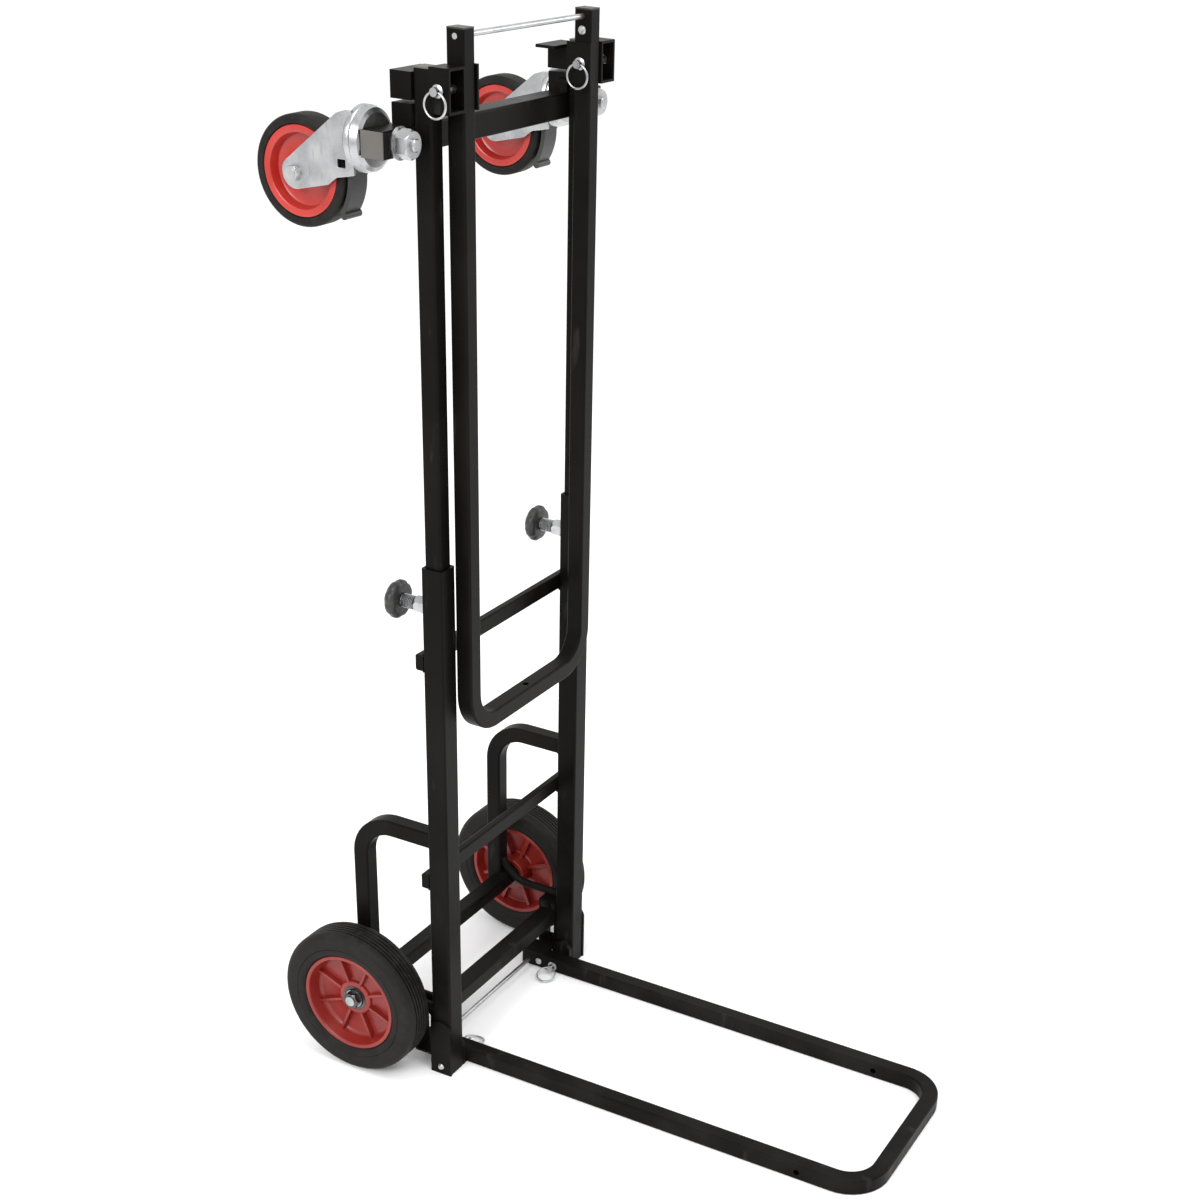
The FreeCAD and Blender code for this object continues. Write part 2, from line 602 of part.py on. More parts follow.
def handle_frame():
    side = "bent_side / 2"
    top = "pivot_z + handle_heel"
    low = f"handle_low + {side}"
    corners = [point("-handle_x", HANDLE_Y, top), point("-handle_x", HANDLE_Y, low),
               point("handle_x", HANDLE_Y, low), point("handle_x", HANDLE_Y, top)]
    tube = bent_tube("handle_frame", corners, mm("bent_radius"), mm("bent_side"), mm("bent_wall"), AXES["y"])
    reach = "handle_x + bent_side"
    tube = drilled("handle_pin", tube, "x", "pin_radius + pin_gap", (f"-({reach})", HANDLE_Y, "pivot_z"),
                   f"2 * ({reach})")
    rod_z = "pivot_z + handle_heel - handle_rod"
    tube = drilled("handle_rod", tube, "x", "rod_radius", (f"-({reach})", HANDLE_Y, rod_z), f"2 * ({reach})")
    tube = drilled("handle_hole", tube, "z", "3.5", ("0", HANDLE_Y, f"{low}"), side)
    node("handle_tube", tube)
    node("handle_rod", cylinder("handle_rod_bar", "x", "rod_radius", (f"-(handle_x + {side})", HANDLE_Y,
                                                                      rod_z),
                                f"2 * (handle_x + {side})"))
    node("handle_screws", group("handle_screws", *[
        frame_screw(f"handle_screw_{word}", side_sign, f"handle_x - {side}", HANDLE_Y,
                    "pivot_z + handle_heel - handle_screw") for side_sign, word in SIDES]))
    plugs = [box(f"handle_plug_{word}", centred(side_x(side_sign, "handle_x"), "bent_side - 1"),
                 centred(HANDLE_Y, "bent_side - 1"), (top, f"{top} + 1.5")) for side_sign, word in SIDES]
    node("handle_plugs", group("handle_plugs", *plugs))


def ring_pin(name, word, head_x, end_x, y, z, droop):
    """Lock pin with a cross-drilled head, and the wire ring that pulls it, hanging at an angle of droop."""
    length = abs(mm(end_x) - mm(head_x))
    sign = 1 if mm(end_x) > mm(head_x) else -1
    radius = mm("pin_radius")
    outline = [(0, 0), (0, radius), (sign * (length - 2), radius), (sign * length, radius - 1.5),
               (sign * length, 0)]
    shaft = turned(f"{name}_{word}_shaft", outline, "x", point(head_x, y, z))
    outline = [(0, 0), (0, 6), (-sign * 1.5, 6), (-sign * 2.5, 4), (-sign * 8, 4), (-sign * 8, 0)]
    head = turned(f"{name}_{word}_head", outline, "x", point(head_x, y, z))
    pin = fuse(f"{name}_{word}", shaft, head)
    eye_x = f"({head_x}) - ({sign * 5.5})"
    node(f"{name}_{word}", drilled(f"{name}_{word}_eye", pin, "y", "ring_wire + 1", (eye_x, f"{y} - 10", z),
                                   "20"))
    hang = FreeCAD.Vector(-sign * math.cos(math.radians(droop)), 0, -math.sin(math.radians(droop)))
    ring = shaped(f"{name}_{word}_wire", Part.makeTorus(mm("ring_radius"), mm("ring_wire")))
    ring.Placement = FreeCAD.Placement(point(eye_x, y, z) + hang * mm("ring_radius"),
                                       FreeCAD.Rotation(AXES["z"], hang.cross(AXES["y"])))
    node(f"{name}_ring_{word}", ring)


# ---------------------------------------------------------------- upper frame
INNER_REAR = "(inner_side / 2)"
INNER_OUT = "(upright_x + outer_side / 2)"
LEG_OUT = "(handle_x + bent_side / 2)"
LEG_IN = "(handle_x - bent_side / 2)"


def inner_tube(side, word):
    name = f"inner_tube_{word}"
    spans = (centred(side_x(side, "upright_x"), "inner_side"), centred("0", "inner_side"),
             ("outer_height - inner_overlap", "inner_top"))
    tube = square_tube(name, "z", spans, "inner_wall")
    inboard = side_x(side, "upright_x - inner_side / 2") + " - 5"
    for count, height in enumerate((38, 138, 238, 338)):
        tube = drilled(f"{name}_hole{count}", tube, "x", "3.5", (inboard, "0", f"outer_height + {height}"),
                       "10")
    node(name, tube)


def pivot_bracket(side, word):
    """Open-fronted box on the front of the tube, and the plate inboard of the leg."""
    front = "handle_front + bent_side / 2 + 2"
    z = centred("pivot_z", "bracket_height")
    spans = (mirrored(side, f"{LEG_OUT} + side_gap", INNER_OUT), (f"-({front})", f"-{INNER_REAR}"), z)
    hollow = [grown(span, "-plate") for span in spans]
    hollow[1] = (f"-({front}) - 1", f"-{INNER_REAR} - plate")
    shell = cut(f"bracket_{word}", box(f"bracket_{word}_outside", *spans), box(f"bracket_{word}_room",
                                                                               *hollow))
    spans = (mirrored(side, f"{LEG_IN} - side_gap - plate", f"{LEG_IN} - side_gap"),
             (f"-({front})", "-4"), z)
    inner = box(f"bracket_{word}_plate", *spans)
    spans = (mirrored(side, f"{LEG_IN} - side_gap - plate", "upright_x - inner_side / 2"),
             (f"-{INNER_REAR} + 1", INNER_REAR), (z[0], f"{z[0]} + 3"))
    tie = box(f"bracket_{word}_tie", *spans)
    whole = fuse(f"bracket_{word}", shell, inner, tie)
    start = (side_x(side, "handle_x") + " - 60", HANDLE_Y, "pivot_z")
    return drilled(f"bracket_{word}_pin", whole, "x", "pin_radius + pin_gap", start, "120")


def rear_hook(side, word):
    """Short box behind the top of the tube with a flange that the leg's heel comes down on."""
    spans = (mirrored(side, UPRIGHT_IN, INNER_OUT), (INNER_REAR, f"{INNER_REAR} + 23"), ("hook_low",
                                                                                         "hook_top"))
    hollow = [grown(span, "-plate") for span in spans]
    hollow[2] = ("hook_low - 1", "hook_top - plate")
    shell = cut(f"hook_{word}", box(f"hook_{word}_outside", *spans), box(f"hook_{word}_room", *hollow))
    spans = (mirrored(side, f"{LEG_IN} - side_gap - plate", UPRIGHT_IN), (f"{INNER_REAR} + 1",
                                                                          f"{INNER_REAR} + 23"),
             ("hook_top - 3", "hook_top"))
    return fuse(f"hook_{word}", shell, box(f"hook_{word}_flange", *spans))


def rear_block(side, word):
    spans = (mirrored(side, UPRIGHT_IN, INNER_OUT), (INNER_REAR, f"{INNER_REAR} + 22"),
             ("beam_z + beam_side / 2", "block_top"))
    return rounded(f"rear_block_{word}", box(f"rear_block_{word}_solid", *spans), "x", "1")


def caster_beam():
    spans = (("-beam_half", "beam_half"), (INNER_REAR, f"{INNER_REAR} + beam_side"), centred("beam_z",
                                                                                             "beam_side"))
    beam = square_tube("caster_beam", "x", spans, "outer_wall")
    for side, word in SIDES:
        start = (side_x(side, "caster_x"), "0", "beam_z")
        beam = drilled(f"caster_beam_{word}", beam, "y", "stem_radius", start, "80")
    node("caster_beam", beam)
    plugs = [box(f"beam_plug_{word}", mirrored(side, "beam_half", "beam_half + 1.5"),
                 (f"{INNER_REAR} + 0.5", f"{INNER_REAR} + beam_side - 0.5"), centred("beam_z",
                                                                                     "beam_side - 1"))
             for side, word in SIDES]
    caps = [box(f"tube_cap_{word}", centred(side_x(side, "upright_x"), "inner_side - 0.6"),
                centred("0", "inner_side - 0.6"), ("inner_top", "inner_top + 1.5")) for side, word in SIDES]
    node("end_caps", group("end_caps", *plugs, *caps))


# ---------------------------------------------------------------- casters
BEAM_REAR = "(inner_side / 2 + beam_side)"
AXLE_Z = "(beam_z - caster_drop)"
CASTER_Y = "(inner_side / 2 + beam_side + caster_back)"


def caster_stems():
    """The threaded stem and top race of each caster, fixed in the beam, and its lock nut."""
    stems = []
    nuts = []
    for side, word in SIDES:
        x = side_x(side, "caster_x")
        radius = mm("stem_radius")
        race = mm("race_radius")
        reach = mm(f"beam_side")
        outline = [(-reach - 19, 0), (-reach - 19, radius - 1), (-reach - 18, radius), (0, radius), (0,
                                                                                                     race - 6),
                   (2, race - 2), (9, race), (9, 8), (22, 8), (22, 0)]
        stems.append(turned(f"caster_stem_{word}", outline, "y", point(x, BEAM_REAR, "beam_z")))
        nut = hexagon(f"caster_nut_{word}", 24, 14, radius, "y", point(x, f"{INNER_REAR} - 15.6", "beam_z"))
        washer = cylinder(f"caster_washer_{word}", "y", "15", (x, f"{INNER_REAR} - 1.6", "beam_z"), "1.6")
        ring = drilled(f"caster_washer_{word}", washer, "y", "stem_radius", (x, f"{INNER_REAR} - 1.6",
                                                                             "beam_z"), "1.6")
        nuts += [nut, ring]
    node("caster_stems", group("caster_stems", *stems))
    node("caster_nuts", group("caster_nuts", *nuts))


BRAKE_TURN = -8
BRAKE_SPAN = 44
BRAKE_OUT = 3.0


def fork_cheek(x_low, sheet_thickness):
    """One side of a fork: wide at the race, narrow and round at the axle."""
    start = mm(f"{BEAM_REAR} + 12")
    axle_y = mm(CASTER_Y)
    axle_z = mm(AXLE_Z)
    middle = mm("beam_z")
    shift = mm(MIDDLE_Y)
    nose = 15.0
    outline = [(start, middle + 26), (start + 16, middle + 24), (axle_y + 3, axle_z + nose),
               (axle_y + nose, axle_z), (axle_y, axle_z - nose), (start + 20, middle - 32), (start,
                                                                                             middle - 30)]
    points = [FreeCAD.Vector(x_low, y + shift, z) for y, z in outline]
    tip = Part.Arc(points[2], points[3], points[4]).toShape()
    edges = [Part.LineSegment(points[0], points[1]).toShape(), Part.LineSegment(points[1],
                                                                                points[2]).toShape(), tip,
             Part.LineSegment(points[4], points[5]).toShape(), Part.LineSegment(points[5],
                                                                                points[6]).toShape(),
             Part.LineSegment(points[6], points[0]).toShape()]
    return Part.Face(Part.Wire(edges)).extrude(FreeCAD.Vector(sheet_thickness, 0, 0))


def caster_fork(side, word):
    """Pressed fork that turns on the stem: lower race, crown and two cheeks."""
    sheet_thickness = mm("fork_sheet")
    half = mm("caster_width / 2") + 3.5
    x = mm(side_x(side, "caster_x"))
    cheeks = fork_cheek(x - half - sheet_thickness, sheet_thickness).fuse(fork_cheek(x + half,
                                                                                     sheet_thickness))
    race = mm("race_radius")
    crown = [(9.5, 8 + mm("run_gap")), (9.5, race - 1), (12, race), (16, race), (19, half + sheet_thickness),
             (19, 8 + mm("run_gap"))]
    points = [FreeCAD.Vector(radius, 0, along) for along, radius in crown]
    disc = Part.Face(Part.makePolygon(points + points[:1])).revolve(FreeCAD.Vector(), AXES["z"], 360)
    disc.Placement = FreeCAD.Placement(point(side_x(side, "caster_x"), BEAM_REAR, "beam_z"),
                                       FreeCAD.Rotation(AXES["z"], AXES["y"]))
    solid = disc.fuse(cheeks)
    bore = Part.makeCylinder(4, 4 * half, point(f"{x} - {2 * half}", CASTER_Y, AXLE_Z), AXES["x"])
    slot = Part.makeBox(4 * half, 9, 6, point(f"{x} - {2 * half}", f"{BEAM_REAR} + 38", "beam_z - 16"))
    node(f"caster_fork_{word}", shaped(f"caster_fork_{word}", solid.cut(bore).cut(slot)))
    reach = half + sheet_thickness
    bolt = shaped(f"caster_bolt_{word}_bar", Part.makeCylinder(4, 2 * reach + 10.5, FreeCAD.Vector(0, 0,
                                                                                                   -reach - 4)))
    head = hexagon(f"caster_bolt_head_{word}", 13, 6, 3.9, "x", point(0, 0, 0))
    nut = hexagon(f"caster_bolt_nut_{word}", 13, 6, 3.9, "x", point(0, 0, 0))
    centre = point(side_x(side, "caster_x"), CASTER_Y, AXLE_Z)
    outward = AXES["x"] * side
    bolt.Placement = FreeCAD.Placement(centre, facing(side))
    head.Placement = FreeCAD.Placement(centre - outward * (reach + 6), facing(side))
    nut.Placement = FreeCAD.Placement(centre + outward * reach, facing(side))
    node(f"caster_axle_{word}", fuse(f"caster_axle_{word}", bolt, head, nut))


def caster_wheel(side, word):
    """Rubber tread on a moulded dished hub."""
    x = side_x(side, "caster_x")
    centre = point(x, CASTER_Y, AXLE_Z)
    radius = mm("caster_radius")
    seat = mm("caster_rim")
    half = mm("caster_width / 2")
    outline = [(-half + 2, seat), (-half, seat + 2), (-half, radius - 4), (-half + 3, radius - 1),
               (-half + 6, radius),
               (half - 6, radius), (half - 3, radius - 1), (half, radius - 4), (half, seat + 2), (half - 2,
                                                                                                  seat)]
    node(f"caster_tyre_{word}", turned(f"caster_tyre_{word}", outline, "x", centre))
    hub_half = half + 3.2
    outline = [(-half + 2, seat), (-half + 2, seat - 4), (-3, seat - 7), (-5, 14), (-hub_half, 11),
               (-hub_half, 4.05),
               (hub_half, 4.05), (hub_half, 11), (5, 14), (3, seat - 7), (half - 2, seat - 4), (half - 2,
                                                                                                seat)]
    node(f"caster_hub_{word}", turned(f"caster_hub_{word}", outline, "x", centre))


def turned_about(angle, shape):
    shape.rotate(FreeCAD.Vector(), AXES["z"], angle)
    return shape


def brake_pedal(side, word):
    """Plastic brake shoe in front of the tyre, hung by its barrel in the fork, with a toe tab below."""
    x = mm(side_x(side, "caster_x"))
    half = mm("caster_width") / 2 - 1.5
    near = mm("caster_radius + brake_gap")
    shoe = Part.makeCylinder(near + 4.5, 2 * half, FreeCAD.Vector(), AXES["z"], BRAKE_SPAN)
    shoe = shoe.cut(Part.makeCylinder(near, 2 * half))
    tab = turned_about(BRAKE_SPAN, Part.makeCylinder(3.5, 2 * half, FreeCAD.Vector(near + 5, 0, 0)))
    arm = Part.makeBox(5, 8, 2 * half, FreeCAD.Vector(near, -1, 0))
    barrel = Part.makeCylinder(4.5, 2 * half, FreeCAD.Vector(near + BRAKE_OUT, 0, 0))
    shoe = shoe.fuse([tab, arm, barrel])
    shoe.rotate(FreeCAD.Vector(), AXES["z"], BRAKE_TURN)
    centre = point(f"{x} - {half}", CASTER_Y, AXLE_Z)
    shoe.Placement = FreeCAD.Placement(centre, FreeCAD.Rotation(FreeCAD.Vector(0, -1, 0), FreeCAD.Vector(0,
                                                                                                         0,
                                                                                                         -1),
                                                               AXES["x"], "ZXY")).multiply(shoe.Placement)
    node(f"brake_pedal_{word}", shaped(f"brake_{word}", shoe))


for side, word in SIDES:
    outer_tube(side, word)
crossbar("upper_crossbar", UPRIGHT_OUT, "bar_depth", "bar_tall", "upper_bar_z")
crossbar("middle_crossbar", UPRIGHT_OUT, "bar_depth", "bar_tall", "middle_bar_z")
crossbar("bottom_crossbar", UPRIGHT_IN, "bottom_bar_depth", "bottom_bar_tall", "bottom_bar_z")
for side, word in SIDES:
    wheel_loop(side, word)
node("brace_rods", group("brace_rods", *[brace_rod(side, word) for side, word in SIDES]))
axle()
axle_fasteners()
foot_plates()
stop_brackets()
clamp_nuts()
for side, word in SIDES:
    tyre(side, word)
    rim(side, word)
    bearings(side, word)
    clamp_knob(side, word)
toe_frame()
handle_frame()
for side, word in SIDES:
    ring_pin("toe_pin", word, side_x(side, "toe_x - bent_side / 2 - side_gap"), side_x(side,
                                                                                       f"{UPRIGHT_OUT} + 5"),
             "0", TOE_Z, 18)
ring_pin("handle_pin", "left", f"-({INNER_OUT} + side_gap)", f"-({LEG_IN} - 8)", HANDLE_Y, "pivot_z", 90)
ring_pin("handle_pin", "right", f"{LEG_IN} - side_gap - plate - side_gap", f"{INNER_OUT} + 5", HANDLE_Y,
         "pivot_z",
         90)
for side, word in SIDES:
    inner_tube(side, word)
node("pivot_brackets", group("pivot_brackets", *[pivot_bracket(side, word) for side, word in SIDES]))
backs = [make(side, word) for make in (rear_hook, rear_block) for side, word in SIDES]
node("rear_hooks", group("rear_hooks", *backs))
caster_beam()
caster_stems()
for side, word in SIDES:
    caster_fork(side, word)
    caster_wheel(side, word)
    brake_pedal(side, word)

doc.recompute()
for item in doc.Objects:
    if "Invalid" in item.State or "Error" in item.State:
        raise RuntimeError(f"{item.Name} failed: {item.State}")
for item in nodes:
    if item.Shape.isNull() or not item.Shape.isValid():
        raise RuntimeError(f"{item.Label} has no valid shape")

os.makedirs("parts", exist_ok=True)
for item in nodes:
    item.Shape.exportStep(f"parts/{item.Label}.step")
    print(item.Label, round(item.Shape.Volume / 1000, 1), "cm3", len(item.Shape.Solids), "solids")
print(len(nodes), "nodes")
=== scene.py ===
# %% [markdown]
# # Convertible hand truck
#
# The frame is the imported model: every solid in it is true to size. Solids
# whose shape is finished keep it and get a better finish. The wheels, casters, knobs and threaded screws
# need more shape than a solid gives, so new pieces stand for them.

# %% Load the frame
import json
import math
import bpy
import bmesh
from mathutils import Matrix, Vector


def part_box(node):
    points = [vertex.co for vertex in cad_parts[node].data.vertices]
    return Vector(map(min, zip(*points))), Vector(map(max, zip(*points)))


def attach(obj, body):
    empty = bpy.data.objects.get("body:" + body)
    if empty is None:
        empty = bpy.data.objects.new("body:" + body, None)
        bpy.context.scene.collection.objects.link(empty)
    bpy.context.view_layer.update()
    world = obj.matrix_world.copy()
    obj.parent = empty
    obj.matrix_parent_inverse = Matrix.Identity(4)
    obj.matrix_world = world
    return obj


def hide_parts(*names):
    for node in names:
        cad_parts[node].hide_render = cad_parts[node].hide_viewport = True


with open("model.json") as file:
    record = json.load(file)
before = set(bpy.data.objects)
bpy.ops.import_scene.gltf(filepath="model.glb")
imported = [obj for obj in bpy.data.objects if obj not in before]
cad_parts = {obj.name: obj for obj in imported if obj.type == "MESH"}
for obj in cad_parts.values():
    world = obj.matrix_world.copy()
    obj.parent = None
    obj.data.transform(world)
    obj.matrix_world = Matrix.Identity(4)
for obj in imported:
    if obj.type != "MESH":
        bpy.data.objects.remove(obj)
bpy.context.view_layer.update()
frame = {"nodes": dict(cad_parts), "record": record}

NODES = frame["nodes"]
SIDES = ((-1, "left"), (1, "right"))

# %% [markdown]
# ## Camera, floor and light
#
# The truck stands on a pale studio floor in front of a white backdrop. It is seen from its left and above,
# with a long lens, so the uprights run nearly parallel. The camera looks past the middle of the truck, so the
# view is slid a little to bring all of it in.

# %% Camera
AZIMUTH, ELEVATION, ROLL = (math.radians(angle) for angle in (-64.49, 28.69, 3.11))
back = Vector((math.sin(AZIMUTH) * math.cos(ELEVATION), -math.cos(AZIMUTH) * math.cos(ELEVATION),
               math.sin(ELEVATION)))
level = Vector((math.cos(AZIMUTH), math.sin(AZIMUTH), 0))
rise = back.cross(level)
right = level * math.cos(ROLL) + rise * math.sin(ROLL)
up = rise * math.cos(ROLL) - level * math.sin(ROLL)
camera = bpy.data.objects.new("camera", bpy.data.cameras.new("camera"))
camera.matrix_world = Matrix.Translation((-1.6769, -0.8854, 1.3562)) @ Matrix((right, up, back)).transposed().to_4x4()
camera.data.lens = 57.95
camera.data.shift_x = -0.0919
camera.data.shift_y = 0.1847
bpy.context.scene.collection.objects.link(camera)
bpy.context.scene.camera = camera
print("camera", [round(value, 3) for value in camera.matrix_world.translation])


# %% Floor and light
def area_light(name, place, target, size, power):
    """A soft box that faces a point."""
    light = bpy.data.lights.new(name, "AREA")
    light.shape = "DISK"
    light.size = size
    light.energy = power
    lamp = bpy.data.objects.new(name, light)
    lamp.location = place
    lamp.rotation_euler = (Vector(target) - Vector(place)).to_track_quat("-Z", "Y").to_euler()
    bpy.context.scene.collection.objects.link(lamp)
    return lamp


area_light("key", (-3.2, 0.3, 2.6), (0, 0.1, 0.6), 1.6, 75)
area_light("top", (-0.4, -1.2, 3.6), (0, 0, 0.4), 2.6, 48)
area_light("far side", (2.6, -1.4, 1.8), (0, 0, 0.6), 1.4, 14)
world = bpy.data.worlds.new("studio")
world.use_nodes = True
world.node_tree.nodes["Background"].inputs["Color"].default_value = (1.0, 1.0, 1.0, 1.0)
world.node_tree.nodes["Background"].inputs["Strength"].default_value = 1.07
bpy.context.scene.world = world
bpy.context.scene.view_settings.view_transform = "Standard"
print(len(bpy.data.lights), "lights")

# %% [markdown]
# ## Writing finishes
#
# A finish is a small program over the surface. `Amount` lets its sums be written as sums, and `Finish` adds
# every other kind of node in one way: its type, its settings, then its inputs.


# %% Shader tools
class Amount:
    """A number that varies over a surface."""

    def __init__(self, finish, socket):
        self.finish = finish
        self.socket = socket

    def sum_with(self, operation, first, second):
        maths = self.finish.tree.nodes.new("ShaderNodeMath")
        maths.operation = operation
        for slot, value in zip(maths.inputs, (first, second)):
            self.finish.put(slot, value)
        return Amount(self.finish, maths.outputs[0])

    def __add__(self, other):
        return self.sum_with("ADD", self, other)

    def __radd__(self, other):
        return self.sum_with("ADD", other, self)

    def __sub__(self, other):
        return self.sum_with("SUBTRACT", self, other)

    def __rsub__(self, other):
        return self.sum_with("SUBTRACT", other, self)

    def __mul__(self, other):
        return self.sum_with("MULTIPLY", self, other)

    def __rmul__(self, other):
        return self.sum_with("MULTIPLY", other, self)

    def above(self, low, high):
        """0 below low, 1 above high, smooth between."""
        node = self.finish.node("MapRange", {"interpolation_type": "SMOOTHSTEP"}, Value=self,
                                From_Min=low, From_Max=high)
        return Amount(self.finish, node.outputs["Result"])


class Finish:
    """A material and the nodes that make it."""

    def __init__(self, name):
        self.material = bpy.data.materials.new(name)
        self.material.use_nodes = True
        self.tree = self.material.node_tree
        self.shader = self.tree.nodes["Principled BSDF"]
        self.place = self.node("TexCoord").outputs["Object"]

    def put(self, slot, value):
        if isinstance(value, Amount):
            value = value.socket
        if isinstance(value, bpy.types.NodeSocket):
            self.tree.links.new(value, slot)
        else:
            slot.default_value = value

    def node(self, kind, settings=None, **inputs):
        node = self.tree.nodes.new("ShaderNode" + kind)
        for name, value in (settings or {}).items():
            setattr(node, name, value)
        for name, value in inputs.items():
            self.put(node.inputs[name.replace("_", " ")], value)
        return node

    def noise(self, scale, detail=2.0, stretch=None):
        place = self.place
        if stretch:
            place = self.node("Mapping", None, Vector=place, Scale=stretch).outputs[0]
        node = self.node("TexNoise", None, Vector=place, Scale=scale, Detail=detail)
        return Amount(self, node.outputs["Fac"])

    def cells(self, scale):
        node = self.node("TexVoronoi", None, Vector=self.place, Scale=scale)
        return Amount(self, self.node("SeparateColor", None, Color=node.outputs["Color"]).outputs[0])

    def height(self):
        return Amount(self, self.node("SeparateXYZ", None, Vector=self.place).outputs["Z"])

    def blend(self, amount, first, second):
        """One colour fading into another."""
        mix = self.node("Mix", {"data_type": "RGBA"})
        for slot, value in zip((mix.inputs[0], mix.inputs[6], mix.inputs[7]), (amount, first, second)):
            self.put(slot, value)
        return mix.outputs[2]

    def bump(self, amount, depth, under=None):
        """Relief of a depth in metres."""
        node = self.node("Bump", None, Height=amount, Distance=depth, Strength=1.0)
        if under:
            self.put(node.inputs["Normal"], under)
        return node.outputs["Normal"]

    def surface(self, **inputs):
        for name, value in inputs.items():
            self.put(self.shader.inputs[name.replace("_", " ")], value)
        return self.material


def colour(red, green, blue):
    return (red, green, blue, 1.0)


# %% [markdown]
# ## The finishes
#
# The tubes and brackets are dipped in black powder and baked: the coat is satin with a fine orange peel, a
# little browner where it is thin, and dusty near the floor. Rods, nuts, pins and forks are bright zinc plate,
# which crystallises in faint patches and picks up small handling marks. Tyres are solid rubber with a mould
# bloom. Rims are glossy moulded plastic with slight flow marks; knobs and plugs are grained plastic. The black
# end plugs are lightened to grey, a painted highlight for the key light on their faces.


# %% Powder coat and zinc
def powder_coat():
    finish = Finish("black powder coat")
    patches = finish.noise(11, 3).above(0.35, 0.7)
    scuffs = finish.noise(55, 6, (1, 1, 0.25)).above(0.62, 0.74)
    dust = (1 - finish.height().above(0.0, 0.25)) * finish.noise(24, 4).above(0.35, 0.75)
    thin = finish.blend(patches, colour(0.0035, 0.0031, 0.0028), colour(0.0065, 0.0056, 0.0050))
    worn = finish.blend(scuffs * 0.3, thin, colour(0.045, 0.041, 0.037))
    base = finish.blend(dust * 0.07, worn, colour(0.08, 0.075, 0.068))
    peel = finish.bump(finish.noise(620, 2), 0.00008)
    relief = finish.bump(finish.noise(90, 2), 0.00012, peel)
    rough = 0.34 + patches * 0.06 + scuffs * 0.1 + dust * 0.15
    return finish.surface(Base_Color=base, Roughness=rough, Normal=relief, Specular_IOR_Level=0.06)


def zinc_plate(name="bright zinc plate", shade=1.0):
    finish = Finish(name)
    spangle = finish.cells(420)
    clouds = finish.noise(38, 4).above(0.3, 0.72)
    marks = finish.noise(260, 5, (1, 1, 0.15)).above(0.6, 0.72)
    dull, bright = [shade * value for value in (0.36, 0.37, 0.385)], [shade * value for value in (0.52, 0.525, 0.52)]
    base = finish.blend(clouds, colour(*dull), colour(*bright))
    base = finish.blend(marks * 0.5, base, colour(0.24, 0.245, 0.25))
    rough = 0.24 + spangle * 0.08 + clouds * 0.08 + marks * 0.12
    relief = finish.bump(finish.noise(480, 3), 0.00003)
    return finish.surface(Base_Color=base, Metallic=1.0, Roughness=rough, Normal=relief)


# %% Rubber and plastics
def tyre_rubber():
    finish = Finish("solid rubber")
    bloom = finish.noise(30, 4).above(0.35, 0.7)
    dust = finish.noise(120, 5).above(0.5, 0.72)
    base = finish.blend(bloom, colour(0.0075, 0.0066, 0.0060), colour(0.014, 0.0122, 0.011))
    base = finish.blend(dust * 0.18, base, colour(0.05, 0.045, 0.04))
    relief = finish.bump(finish.noise(900, 3), 0.00006)
    rough = 0.52 + bloom * 0.12 + dust * 0.2
    return finish.surface(Base_Color=base, Roughness=rough, Normal=relief, Specular_IOR_Level=0.14)


def moulded(name, dark, pale, gloss, grain, depth):
    """Injection-moulded plastic: slight flow marks, fine grain and rub marks."""
    finish = Finish(name)
    flow = finish.noise(26, 3).above(0.3, 0.75)
    rubs = finish.noise(210, 5).above(0.6, 0.75)
    base = finish.blend(flow, dark, pale)
    rough = gloss + flow * 0.08 + rubs * 0.14
    relief = finish.bump(finish.noise(grain, 2), depth)
    return finish.surface(Base_Color=base, Roughness=rough, Normal=relief)


COAT = powder_coat()
ZINC = zinc_plate()
OILED = zinc_plate("oiled dark zinc", 0.22)
RUBBER = tyre_rubber()
RED = moulded("red moulded plastic", colour(0.34, 0.018, 0.012), colour(0.44, 0.030, 0.021), 0.28, 350, 0.00003)
DEEP_RED = moulded("deep red moulded plastic", colour(0.185, 0.011, 0.008), colour(0.255, 0.019, 0.013), 0.30, 350,
                   0.00003)
# The end caps are black plastic; this lighter grey is a painted highlight that stands in for the strong key light on
# their faces.
CAP_GREY_PAINTED_HIGHLIGHT = moulded("end cap plastic with painted highlight", colour(0.075, 0.070, 0.063), colour(0.105, 0.098, 0.088), 0.45, 1300, 0.00006)
BLACK = moulded("black grained plastic", colour(0.012, 0.012, 0.012), colour(0.026, 0.025, 0.024), 0.38, 1300,
                0.00008)
FINISH_OF_SLOT = {"black_coat": COAT, "zinc": ZINC, "rubber": RUBBER, "red_plastic": RED, "black_plastic": BLACK}
# The end caps take the grey with the painted highlight in place of their black plastic.
FINISH_OF_NODE = {"axle_nuts": OILED, "wheel_bearings_left": OILED, "wheel_bearings_right": OILED, "end_caps": CAP_GREY_PAINTED_HIGHLIGHT}


def dress(node, material):
    """Gives a solid its finish."""
    node.data.materials.clear()
    node.data.materials.append(material)


for part in frame["record"]["subparts"]:
    finish_now = FINISH_OF_NODE.get(part["node"], FINISH_OF_SLOT[part["material_slot"]])
    dress(NODES[part["node"]], finish_now)
print(len(FINISH_OF_SLOT), "finishes on", len(NODES), "solids")

# %% [markdown]
# ## Floor

